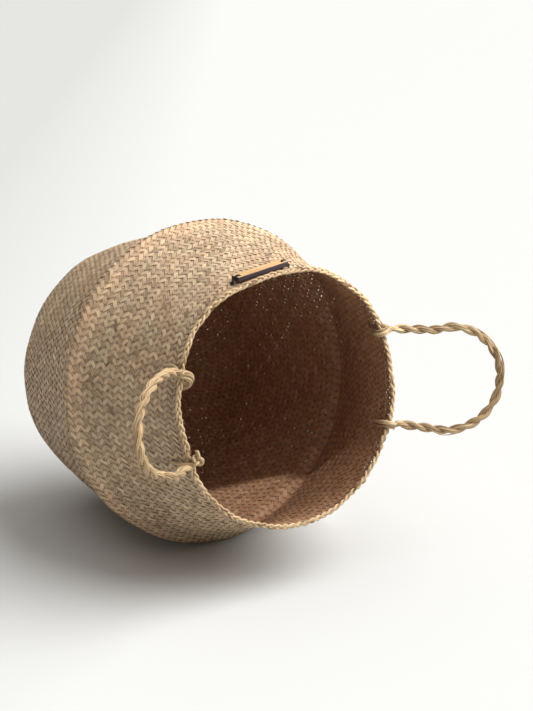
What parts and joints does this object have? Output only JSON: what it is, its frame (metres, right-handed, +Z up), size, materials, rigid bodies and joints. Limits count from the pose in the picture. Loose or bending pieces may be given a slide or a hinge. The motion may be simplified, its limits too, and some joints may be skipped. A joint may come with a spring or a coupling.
{
  "type": "seagrass belly basket",
  "caption": "Round-bellied woven seagrass basket with a sharp fold, narrowing shoulder, braided rim, twisted rope handles and a blank wooden label.",
  "frame": {"origin": "centre of the flat base, on the surface it stands on", "axes": "+Z up along the basket's axis towards the mouth, label at the front on -Y, handles on -X and +X"},
  "size_m": [0.4771, 0.374, 0.4547],
  "materials": {
    "seagrass_weave": "dry flat seagrass strips plaited in a two-over-two twill",
    "seagrass_braid": "pale seagrass plaited into a thin edge",
    "seagrass_rope": "pale seagrass fibres twisted in two plies",
    "label_wood": "thin unvarnished wood with scorched edges",
    "black_thread": "waxed black thread"
  },
  "bodies": {
    "bowl": {"base_panel": "seagrass_weave", "base_corner": "seagrass_weave", "bowl_wall": "seagrass_weave", "shoulder_wall": "seagrass_weave"},
    "neck": {"neck_band": "seagrass_weave", "rim_braid": "seagrass_braid", "rim_hitch_left_front": "seagrass_rope", "rim_hitch_left_rear": "seagrass_rope", "rim_hitch_right_front": "seagrass_rope", "rim_hitch_right_rear": "seagrass_rope", "handle_knot_front": "seagrass_rope", "handle_knot_rear": "seagrass_rope", "label_plate": "label_wood", "label_thread_left": "black_thread", "label_thread_right": "black_thread"},
    "handle_left": {"handle_rope_left": "seagrass_rope"},
    "handle_right": {"handle_rope_right": "seagrass_rope"}
  },
  "joints": [
    {"name": "fold_down", "type": "slide", "parent": "bowl", "child": "neck", "axis": [0, 0, -1], "range_m": [0, 0.15], "deforming": ["shoulder_wall"]},
    {"name": "handle_left_swing", "type": "hinge", "parent": "neck", "child": "handle_left", "pos_m": [-0.12958, 0, 0.374], "axis": [0, 1, 0], "range_deg": [-33, 72]},
    {"name": "handle_right_swing", "type": "hinge", "parent": "neck", "child": "handle_right", "pos_m": [0.13114, 0, 0.374], "axis": [0, -1, 0], "range_deg": [-37, 68]}
  ]
}
